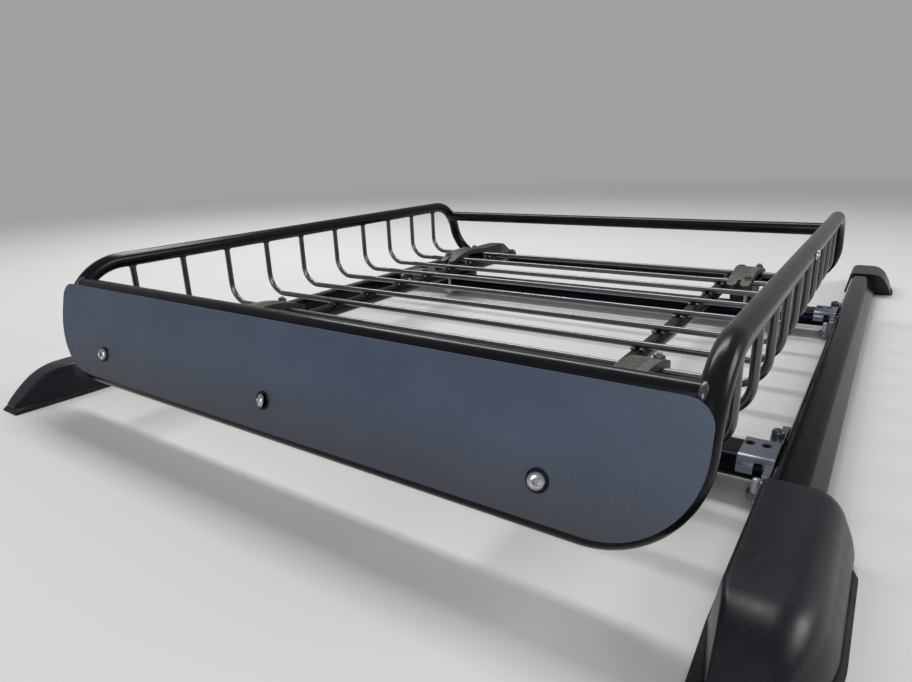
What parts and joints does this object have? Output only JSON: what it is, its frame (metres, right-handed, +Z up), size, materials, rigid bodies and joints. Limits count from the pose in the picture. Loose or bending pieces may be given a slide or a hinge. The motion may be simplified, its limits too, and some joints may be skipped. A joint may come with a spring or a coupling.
{
  "type": "roof rack with cargo basket",
  "caption": "Steel tube cargo basket with a wind fairing, clamped on two crossbars between raised side rails with moulded end covers.",
  "frame": {"origin": "on the roof plane under the middle of the rails, z = 0 at the gaskets' undersides", "axes": "+X is the vehicle's left, -Y its front, +Z is up"},
  "size_m": [1.184, 1.57, 0.2235],
  "materials": {
    "tube_powder_coat": "satin black powder coat",
    "wire_powder_coat": "semi-gloss black powder coat",
    "fairing_paint": "satin dark slate paint",
    "clip_plastic": "matte black moulded nylon",
    "saddle_plastic": "sun-faded dark grey moulded nylon",
    "crossbar_black": "black anodised aluminium",
    "bracket_casting": "grey satin casting",
    "knob_plastic": "gloss black cap",
    "rail_paint": "gloss black paint",
    "cover_plastic": "fine-grained satin black moulding",
    "gasket_rubber": "weathered grey-black rubber",
    "zinc_steel": "zinc plated steel"
  },
  "bodies": {
    "root": {"bracket_knobs_front_left": "knob_plastic", "bracket_knobs_front_right": "knob_plastic", "bracket_knobs_rear_left": "knob_plastic", "bracket_knobs_rear_right": "knob_plastic", "clamp_cradle_front_left": "clip_plastic", "clamp_cradle_front_right": "clip_plastic", "clamp_cradle_rear_left": "clip_plastic", "clamp_cradle_rear_right": "clip_plastic", "clamp_saddle_front_left": "saddle_plastic", "clamp_saddle_front_right": "saddle_plastic", "clamp_saddle_rear_left": "saddle_plastic", "clamp_saddle_rear_right": "saddle_plastic", "clamp_strap_front_left": "zinc_steel", "clamp_strap_front_right": "zinc_steel", "clamp_strap_rear_left": "zinc_steel", "clamp_strap_rear_right": "zinc_steel", "corner_front_left": "tube_powder_coat", "corner_front_right": "tube_powder_coat", "corner_rear_left": "tube_powder_coat", "corner_rear_right": "tube_powder_coat", "cover_gasket_front_left": "gasket_rubber", "cover_gasket_front_right": "gasket_rubber", "cover_gasket_rear_left": "gasket_rubber", "cover_gasket_rear_right": "gasket_rubber", "cross_tube_front": "tube_powder_coat", "cross_tube_rear": "tube_powder_coat", "crossbar_front": "crossbar_black", "crossbar_rear": "crossbar_black", "end_bracket_front_left": "bracket_casting", "end_bracket_front_right": "bracket_casting", "end_bracket_rear_left": "bracket_casting", "end_bracket_rear_right": "bracket_casting", "end_cover_front_left": "cover_plastic", "end_cover_front_right": "cover_plastic", "end_cover_rear_left": "cover_plastic", "end_cover_rear_right": "cover_plastic", "end_member_front": "tube_powder_coat", "end_member_rear": "tube_powder_coat", "fairing_clip_left": "clip_plastic", "fairing_clip_middle": "clip_plastic", "fairing_clip_right": "clip_plastic", "fairing_plate": "fairing_paint", "floor_tube_left": "tube_powder_coat", "floor_tube_right": "tube_powder_coat", "side_rail_left": "rail_paint", "side_rail_right": "rail_paint", "side_tube_front_left": "tube_powder_coat", "side_tube_front_right": "tube_powder_coat", "side_tube_rear_left": "tube_powder_coat", "side_tube_rear_right": "tube_powder_coat", "wire_front_1": "wire_powder_coat", "wire_front_2": "wire_powder_coat", "wire_front_3": "wire_powder_coat", "wire_front_4": "wire_powder_coat", "wire_front_5": "wire_powder_coat", "wire_rear_1": "wire_powder_coat", "wire_rear_2": "wire_powder_coat", "wire_rear_3": "wire_powder_coat", "wire_rear_4": "wire_powder_coat", "wire_rear_5": "wire_powder_coat"}
  },
  "joints": []
}
